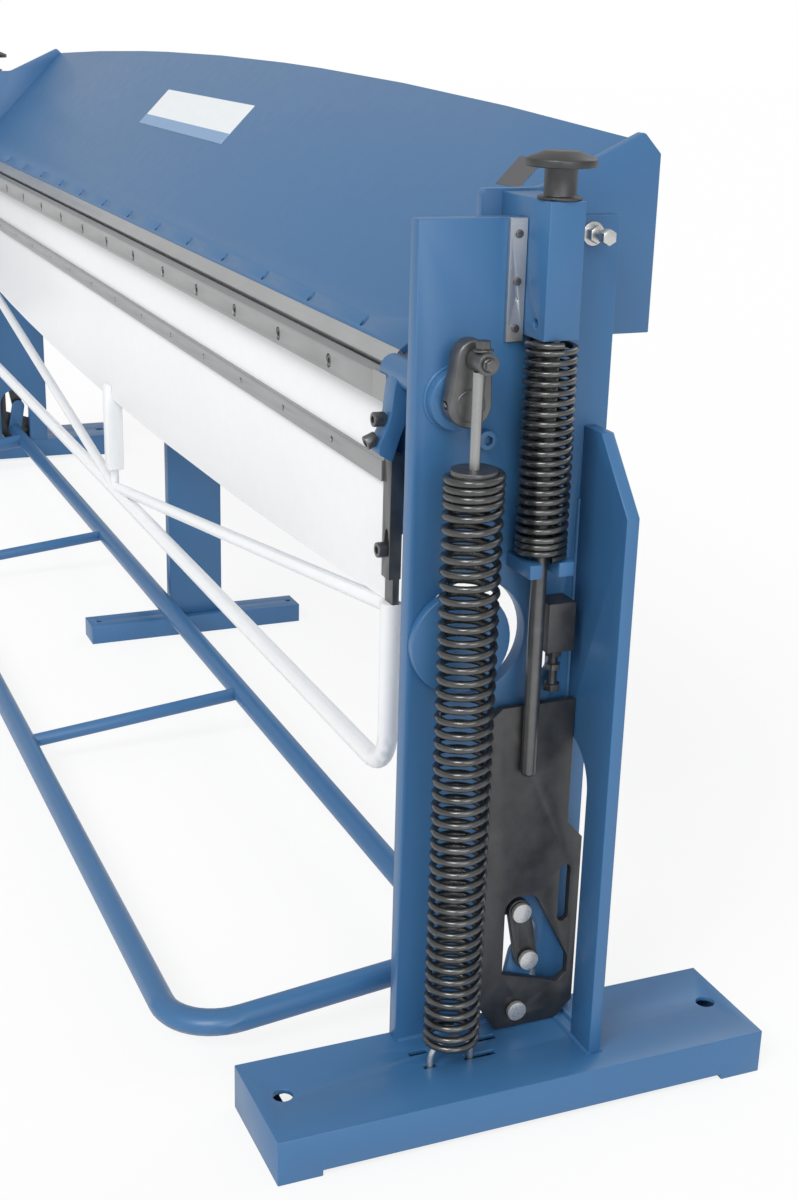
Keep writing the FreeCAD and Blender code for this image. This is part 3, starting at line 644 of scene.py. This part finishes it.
class FOLDER_OT_clamp(bpy.types.Operator):
    """Dresses the clamp beam, with the bolt slots along its blade"""

    bl_idname = "folder.clamp"
    bl_label = "Clamp beam"

    def execute(self, context):
        width = context.scene.folder_finish.easing
        bolt_rise, slot_drop, head_sink = 0.0165, 0.014, 0.0078
        foot = CLAMP_SEAM + ALONG * bolt_rise
        places = [foot + X_AXIS * x for x in row(context.scene.folder_screw.plate_step, limit=1.5)]
        slots = [disc(place - UP * slot_drop, UP, radius=0.0066, height=0.04, sides=20) for place in places]
        heads = [disc(place - OUT * head_sink, OUT, radius=0.0046, height=0.0015, sides=12) for place in places]
        dress("clamp_plate", finishes["blue"], width=0.0008, cutters=slots)
        seat(joined(heads, "clamp_bolts"), "clamp_bolts", "clamp_beam", finishes["worn"])
        for node in ("clamp_base_plate", "clamp_rear_web", "clamp_end_plates"):
            dress(node, finishes["blue"], width)
        oil_hole = disc((slider_high.x - 0.023, slider_low.y - 0.004, slider_low.z + 0.018), -FRONT,
                        radius=0.0055, height=0.016, sides=20)
        dress("slider_blocks", finishes["blue"], width, [oil_hole])
        dress("clamp_blade", finishes["bright"], width=0.0005)
        for node in ("toggle_plate_right", "toggle_plate_left"):
            dress(node, finishes["dark"], width=0.0007)
        dress("clamp_rods", finishes["worn"], width=0.0065, segments=5)
        dress("knobs", finishes["dark"], width=0.0016)
        return {"FINISHED"}


def leaf_rows(s):
    """Blade and strip of the leaf, each with its row of sunk screws."""
    lead, blade_sink, strip_sink = 0.002, 0.0045, 0.003
    blade_z = (blade_low.z + blade_high.z) / 2 - 0.002
    places = [Vector((x, blade_low.y, blade_z)) for x in row(s.blade_step, limit=1.45)]
    bores = [disc(place + FRONT * lead, -FRONT, radius=0.0098, height=0.0075, sides=20) for place in places]
    heads = [socket_screw(place - FRONT * blade_sink, FRONT, radius=0.0082, height=0.0038) for place in places]
    dress("bending_blade", finishes["front"], width=0.0005, cutters=bores)
    seat(joined(heads, "blade_screws"), "blade_screws", "bending_beam", finishes["worn"])
    strip_z = (strip_low.z + strip_high.z) / 2
    places = [Vector((x, strip_low.y, strip_z)) for x in row(s.strip_step, limit=1.47)]
    bores = [disc(place + FRONT * lead, -FRONT, radius=0.0046, height=0.006, sides=16) for place in places]
    heads = [disc(place - FRONT * strip_sink, FRONT, radius=0.004, height=0.001, sides=12) for place in places]
    dress("bending_strip", finishes["front"], width=0.0004, cutters=bores)
    # Strip screw heads are near-black: painted shadow in their holes
    seat(joined(heads, "strip_screws"), "strip_screws", "bending_beam", finishes["shadow"])


def leaf_ends():
    """Ends of the blade, the cheeks beyond them and the sleeves of the pivots."""
    front_y, back_y = blade_low.y, -0.055
    end_x = blade_high.x + BLADE_END_LENGTH
    outline = [(front_y, blade_low.z), (back_y, blade_low.z), (back_y, blade_high.z), (front_y, blade_high.z)]
    blade_end = profile_plate(outline, blade_high.x, end_x, rounding=0.0006)
    pair(blade_end, "blade_ends", "bending_beam", finishes["front"])
    cheek = profile_plate(CHEEK_OUTLINE, end_x, cheek_end_x, rounding=0.0035)
    ease(cheek, width=0.0012)
    cheeks = pair(cheek, "cheeks", "bending_beam", finishes["blue"])
    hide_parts("bending_brackets")
    sleeve = disc((cheek_high.x, FOLD_Y, fold_z), X_AXIS, radius=0.0186, height=sleeve_end_x - cheek_high.x,
                  sides=40)
    pair(sleeve, "pivot_sleeves", "bending_beam", finishes["blue"])


def leaf_levers():
    """End bars with a slot each, levers with an oil hole each, and the eye rods."""
    slot_z, slot_stretch, hole_y = 0.703, 2.5, -0.089
    slots = []
    for side in (1, -1):
        slot = disc((side * (bar_high.x - 0.011), bar_low.y - 0.004, slot_z), -FRONT, radius=0.0075,
                    height=0.010, sides=28)
        take(slot)
        bpy.ops.transform.resize(value=(1, 1, slot_stretch), center_override=(0, 0, slot_z))
        settle(slot)
        slots.append(slot)
    dress("end_bars", finishes["worn"], width=0.0008, cutters=slots)
    oil_holes = [disc((side * (lever_face_x - 0.012), hole_y, fold_z), -FRONT, radius=0.0022, height=0.012,
                      sides=12) for side in (1, -1)]
    dress("pivot_cranks", finishes["worn"], width=0.0024, cutters=oil_holes, segments=3)
    for side in ("_right", "_left"):
        dress("eye_rod" + side, finishes["worn"], width=0.0006)


class FOLDER_OT_leaf(bpy.types.Operator):
    """Dresses the bending beam: leaf, blade, strip, cheeks, truss and pivots"""

    bl_idname = "folder.leaf"
    bl_label = "Bending beam"

    def execute(self, context):
        leaf_rows(context.scene.folder_screw)
        dress("bending_plate", finishes["white"], width=0.0012)
        for node in ("truss_tube", "truss_diagonals", "truss_post"):
            dress(node, finishes["white"], width=0.0008)
        leaf_ends()
        leaf_levers()
        return {"FINISHED"}


class FOLDER_OT_pedal(bpy.types.Operator):
    """Dresses the pedal frame, its cranks and the knee links"""

    bl_idname = "folder.pedal"
    bl_label = "Pedal"

    def execute(self, context):
        for node in ("pedal_tube", "pedal_bar", "pedal_rungs"):
            dress(node, finishes["blue"], width=0.0006)
        dress("pedal_cranks", finishes["blue"], width=0.0008)
        for side in ("_right", "_left"):
            dress("toggle_link" + side, finishes["dark"], width=0.0008)
        return {"FINISHED"}


def spring_runs(height, wire, pitch, below, above):
    """Runs of a spring: closed turns below and above, and open ones of about a pitch between."""
    room = height - (below + above) * wire
    turns = round(room / pitch)
    return [(below, wire), (turns, room / turns), (above, wire)]


def coil(place, radius, wire, runs, steps=20, sides=9):
    """A spring of stacked helix runs, each (turns, pitch), wound up from a place."""
    pieces = []
    z = place[2]
    for turns, pitch in runs:
        clear_selection()
        centre = Vector((radius - wire / 2, 0, 0))
        bpy.ops.mesh.primitive_circle_add(vertices=sides, radius=wire / 2, fill_type="NGON", location=centre,
                                          rotation=(math.pi / 2, 0, 0))
        o = bpy.context.object
        settle(o)
        screw = o.modifiers.new("wind", "SCREW")
        screw.axis = "Z"
        screw.angle = math.tau * turns
        screw.screw_offset = pitch * turns
        screw.steps = int(steps * turns)
        screw.render_steps = screw.steps
        screw.use_merge_vertices = False
        apply_all(o)
        take(o)
        bpy.ops.transform.translate(value=(place[0], place[1], z))
        settle(o)
        bpy.ops.object.mode_set(mode="EDIT")
        bpy.ops.mesh.select_all(action="SELECT")
        bpy.ops.mesh.remove_doubles(threshold=0.00001)
        bpy.ops.mesh.normals_make_consistent(inside=False)
        bpy.ops.object.mode_set(mode="OBJECT")
        pieces.append(o)
        z += turns * pitch
    o = joined(pieces, "coil")
    smooth(o, 60)
    return o


def wire_ring(place, radius, wire, stretch):
    """Round wire bent to a long ring across X, its upper half raised."""
    clear_selection()
    bpy.ops.mesh.primitive_torus_add(location=place, rotation=turn_to(X_AXIS), major_radius=radius,
                                     minor_radius=wire, major_segments=48, minor_segments=12)
    o = bpy.context.object
    settle(o)
    pick_points(o, lambda point: point.z > place[2] + 0.001)
    bpy.ops.transform.translate(value=(0, 0, stretch))
    bpy.ops.object.mode_set(mode="OBJECT")
    smooth(o, 60)
    return o


def balance_springs(s):
    """The coil of each balance spring and the ring of its hook."""
    slimmer, start_turn, ring_z = 0.0015, -2.6, 0.050
    wire = s.balance_wire
    radius = (spring_high.x - spring_low.x) / 2 - slimmer
    x = (spring_high.x + spring_low.x) / 2
    y = (spring_high.y + spring_low.y) / 2
    runs = spring_runs(spring_high.z - spring_low.z - wire, wire, s.balance_pitch, 1, s.closed_turns)
    right = coil((x, y, spring_low.z + wire / 2), radius, wire, runs)
    take(right)
    bpy.ops.transform.rotate(value=start_turn, orient_axis="Z", center_override=(x, y, 0))
    settle(right)
    left = mirror_copy(right)
    for o, side, sign in ((right, "right", 1), (left, "left", -1)):
        seat(o, "balance_coil_" + side, "spring_" + side, finishes["coil"])
        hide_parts("balance_spring_" + side)
        "spring_tilt_" + side
        sign * x
        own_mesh(o)
        ring = wire_ring((sign * x, y, ring_z), radius=0.029, wire=0.004, stretch=0.020)
        hook = seat(ring, "spring_ring_" + side, "spring_" + side, finishes["zinc"])
        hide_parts("spring_hook_" + side)


def lift_springs(s):
    """The coils under both ends of the clamp beam."""
    x, y = 1.787, rod_y
    wire = s.lift_wire
    radius = (lift_high.y - lift_low.y) / 2
    runs = spring_runs(lift_high.z - lift_low.z - wire, wire, s.lift_pitch, 3, 1)
    o = both_ends(coil((x, y, lift_low.z + wire / 2), radius, wire, runs), "lift_coils")
    settle(o)
    o.data.materials.clear()
    o.data.materials.append(finishes["coil"])
    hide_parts("lift_springs")
    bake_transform(o)


class FOLDER_OT_springs(bpy.types.Operator):
    """Winds the balance and lift springs and bends their hooks"""

    bl_idname = "folder.springs"
    bl_label = "Springs"

    def execute(self, context):
        balance_springs(context.scene.folder_spring)
        lift_springs(context.scene.folder_spring)
        return {"FINISHED"}


def stand_screws():
    """Screws of the guide strips, stop bolts of the sides and one screw on each upright."""
    guide = [socket_screw((guide_high.x, guide_y, z), X_AXIS, radius=0.0048, height=0.0028)
             for z in (1.018, 1.073, 1.128)]
    pair(joined(guide, "guide_screws"), "guide_screws", "stand", finishes["worn"])
    x, y, z = upright_face_x, 0.115, 1.125
    stop = [hex_bolt((x, y, z), X_AXIS, across=0.019, height=0.014),
            disc((x, y, z), X_AXIS, radius=0.006, height=0.042, sides=20),
            hex_bolt((x + 0.03, y, z), X_AXIS, across=0.017, height=0.012, washer=False)]
    pair(joined(stop, "side_bolts"), "side_bolts", "stand", finishes["zinc"])
    blue = socket_screw((x, -0.017, 0.886), X_AXIS, radius=0.012, height=0.014)
    pair(blue, "blue_screws", "stand", finishes["blue"])


def leaf_screws():
    """Two screws on the slope of each cheek and one on each end bar."""
    x = cheek_end_x - 0.016
    cheek = [socket_screw((x, -0.086, 0.882), FRONT, radius=0.0095, height=0.016),
             socket_screw((x, -0.0965, 0.858), Vector((0, -0.92, -0.39)), radius=0.0095, height=0.016)]
    pair(joined(cheek, "cheek_screws"), "cheek_screws", "bending_beam", finishes["worn"])
    bar = socket_screw((bar_high.x - 0.013, bar_low.y, 0.693), FRONT, radius=0.0105, height=0.013)
    pair(bar, "end_bar_screws", "bending_beam", finishes["worn"])


def eye_screws():
    """Bolt and bare thread of each eye rod."""
    bolt_x, bolt_z, thread_top = 1.82, 1.0055, 0.982
    bolt = hex_bolt((bolt_x, EYE_PIN_Y, bolt_z), UP, across=0.016, height=0.012)
    twins(bolt, "eye_bolt", "eye", finishes["worn"])
    foot = ((eye_low.x + eye_high.x) / 2, (eye_low.y + eye_high.y) / 2, spring_high.z)
    thread = disc(foot, UP, radius=0.0064, height=thread_top - spring_high.z, sides=24)
    twins(thread, "eye_thread", "eye", finishes["front"])


def lever_screws():
    """Ring round each shaft and nut on each eye pin."""
    ring = ring_bead((lever_face_x, FOLD_Y, fold_z), radius=0.0185, thickness=0.0011)
    pair(ring, "shaft_rings", "bending_beam", finishes["worn"])
    nut = hex_bolt((crank_high.x, EYE_PIN_Y, EYE_PIN_Z), X_AXIS, across=0.013, height=0.006, washer=False)
    pair(nut, "crank_nuts", "bending_beam", finishes["worn"])


def foot_details():
    """Inner floor of each foot, lock nut of each toggle stop and the weld beads of the uprights."""
    inset = 0.010
    liner = slab((foot_low.x + inset, -0.20, 0.0065), (foot_high.x - inset, 0.10, 0.0095))
    pair(liner, "foot_liners", "stand", finishes["blue"])
    toggle_low, toggle_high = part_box("toggle_plate_right")
    nut_place = ((toggle_low.x + toggle_high.x) / 2, 0.085, 0.583)
    lock_nut = disc(nut_place, UP, radius=0.0105, height=0.008, sides=6)
    ease(lock_nut, width=0.0006)
    pair(lock_nut, "stop_lock_nuts", "stand", finishes["worn"])
    x, foot_weld_z = upright_face_x, 0.0635
    beads = [disc((x, y, foot_weld_z), X_AXIS, radius=0.0035, height=0.119, sides=12) for y in (0.1195, 0.1375)]
    beads += [disc((x, -0.108, foot_weld_z), -FRONT, radius=0.0035, height=0.258, sides=12),
              ring_bead((x, FOLD_Y, fold_z), radius=0.0375, thickness=0.003),
              disc((x, 0.1195, 0.50), UP, radius=0.003, height=0.30, sides=12)]
    pair(joined(beads, "weld_beads"), "weld_beads", "stand", finishes["blue"])


def pin_face(pin_x, y, z):
    """Turned end of a pin, that stands out of it a little."""
    sink = 0.0058
    face = disc((pin_x - sink, y, z), X_AXIS, radius=0.0136, height=0.0064, sides=40)
    ease(face, width=0.0004)
    return face


class FOLDER_OT_screws(bpy.types.Operator):
    """Adds the loose screws, bolts and pins of both ends"""

    bl_idname = "folder.screws"
    bl_label = "Screws and bolts"

    def execute(self, context):
        stand_screws()
        leaf_screws()
        eye_screws()
        lever_screws()
        foot_details()
        fixed = pin_face(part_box("upright_right")[1].x, 0.055, 0.242)
        pair(fixed, "fixed_pin_faces", "stand", finishes["turned"])
        crank_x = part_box("pedal_cranks")[1].x
        moving = [pin_face(crank_x, y, z) for y, z in ((0.069, 0.168), (0.055, 0.092))]
        moving = joined(moving, "moving_pin_faces")
        pair(moving, "moving_pin_faces", "pedal", finishes["turned"])
        return {"FINISHED"}


class FOLDER_OT_plates(bpy.types.Operator):
    """Adds the bare label and the bare data plate of the clamp beam"""

    bl_idname = "folder.plates"
    bl_label = "Bare plates"

    def execute(self, context):
        thickness = 0.0008
        for name, x0, x1, low, high, lift, key in (
                ("clamp_label", -0.355, 0.262, 0.222, 0.322, 0.0004, "label"),
                ("clamp_label_band", -0.355, 0.262, 0.222, 0.248, 0.0009, "band"),
                ("data_plate", 1.412, 1.482, 0.272, 0.322, 0.0004, "data")):
            clear_selection()
            centre = CLAMP_SEAM + ALONG * ((low + high) / 2) + OUT * lift + X_AXIS * ((x0 + x1) / 2)
            bpy.ops.mesh.primitive_cube_add(size=1, location=centre, rotation=(CLAMP_ANGLE, 0, 0))
            o = bpy.context.object
            o.scale = (x1 - x0, high - low, thickness)
            settle(o)
            ease(o, width=0.0002, segments=1)
            seat(o, name, "clamp_beam", finishes[key])
        return {"FINISHED"}


class FOLDER_OT_stage(bpy.types.Operator):
    """Lays the pale floor and sets the lights and the camera"""

    bl_idname = "folder.stage"
    bl_label = "Studio"

    def execute(self, context):
        scene = context.scene
        s = scene.folder_stage
        clear_selection()
        bpy.ops.mesh.primitive_plane_add(size=60, location=(0, 0, 0))
        floor = context.object
        floor.name = "floor"
        floor.data.materials.append(paper_floor("studio_paper", (0.86, 0.86, 0.86), 0.82))
        world = bpy.data.worlds.new("studio")
        scene.world = world
        world.use_nodes = True
        tree = world.node_tree
        tree.nodes.clear()
        out = tree.nodes.new("ShaderNodeOutputWorld")
        back = tree.nodes.new("ShaderNodeBackground")
        rays = tree.nodes.new("ShaderNodeLightPath")
        blend = tree.nodes.new("ShaderNodeMapRange")
        blend.inputs["To Min"].default_value = s.sky
        blend.inputs["To Max"].default_value = 1.0
        tree.links.new(rays.outputs["Is Camera Ray"], blend.inputs["Value"])
        tree.links.new(blend.outputs[0], back.inputs["Strength"])
        back.inputs["Color"].default_value = (1, 1, 1, 1)
        tree.links.new(back.outputs[0], out.inputs[0])
        for name, strength, spread, toward in (("key", s.key, 25, (-0.55, 0.75, -0.85)),
                                               ("side", s.key * 0.55, 35, (-0.9, 0.1, -0.35)),
                                               ("back", s.key * 0.35, 40, (0.3, -0.8, -0.6))):
            bpy.ops.object.light_add(type="SUN", location=(0, 0, 5))
            lamp = context.object
            lamp.name = name
            lamp.data.energy = strength
            lamp.data.angle = math.radians(spread)
            lamp.rotation_euler = Vector(toward).to_track_quat("-Z", "Y").to_euler()
        bpy.ops.object.camera_add(location=CAMERA_PLACE)
        camera = context.object
        forward = Vector((math.cos(CAMERA_PITCH) * math.cos(CAMERA_YAW),
                          math.cos(CAMERA_PITCH) * math.sin(CAMERA_YAW), math.sin(CAMERA_PITCH)))
        level = forward.cross(UP).normalized()
        over = level.cross(forward)
        right = level * math.cos(CAMERA_ROLL) + over * math.sin(CAMERA_ROLL)
        top = over * math.cos(CAMERA_ROLL) - level * math.sin(CAMERA_ROLL)
        turn = Matrix((right, top, -forward)).transposed()
        camera.rotation_euler = turn.to_euler()
        camera.data.sensor_fit = "VERTICAL"
        camera.data.sensor_height = SENSOR
        camera.data.lens = CAMERA_FOCAL / IMAGE_HEIGHT * SENSOR
        camera.data.shift_x = (IMAGE_WIDTH / 2 - IMAGE_CENTRE_X) / IMAGE_HEIGHT
        camera.data.shift_y = (IMAGE_CENTRE_Y - IMAGE_HEIGHT / 2) / IMAGE_HEIGHT
        camera.data.clip_start = 0.05
        scene.camera = camera
        scene.view_settings.view_transform = "Standard"
        return {"FINISHED"}


class FOLDER_PT_panel(bpy.types.Panel):
    """Lists the steps in the sidebar"""

    bl_label = "Sheet metal folder"
    bl_space_type = "VIEW_3D"
    bl_region_type = "UI"
    bl_category = "Folder"

    def draw(self, context):
        for step in STEPS:
            self.layout.operator(step.bl_idname)
        for group in ("folder_finish", "folder_spring", "folder_screw", "folder_stage"):
            settings = getattr(context.scene, group)
            box = self.layout.box()
            for key in settings.bl_rna.properties.keys():
                if key not in ("rna_type", "name"):
                    box.prop(settings, key)


SETTINGS = {"folder_finish": FolderFinishSettings, "folder_spring": FolderSpringSettings,
            "folder_screw": FolderScrewSettings, "folder_stage": FolderStageSettings}
STEPS = (FOLDER_OT_finishes, FOLDER_OT_stage, FOLDER_OT_stand, FOLDER_OT_clamp, FOLDER_OT_leaf, FOLDER_OT_pedal,
         FOLDER_OT_springs, FOLDER_OT_screws, FOLDER_OT_plates)


def register():
    for group in (*SETTINGS.values(), *STEPS, FOLDER_PT_panel):
        bpy.utils.register_class(group)
    for name, group in SETTINGS.items():
        setattr(bpy.types.Scene, name, bpy.props.PointerProperty(type=group))


def unregister():
    for name in SETTINGS:
        delattr(bpy.types.Scene, name)
    for group in (FOLDER_PT_panel, *reversed(STEPS), *SETTINGS.values()):
        bpy.utils.unregister_class(group)


def main():
    register()
    for step in STEPS:
        group, name = step.bl_idname.split(".")
        getattr(getattr(bpy.ops, group), name)()


if __name__ == "__main__":
    main()
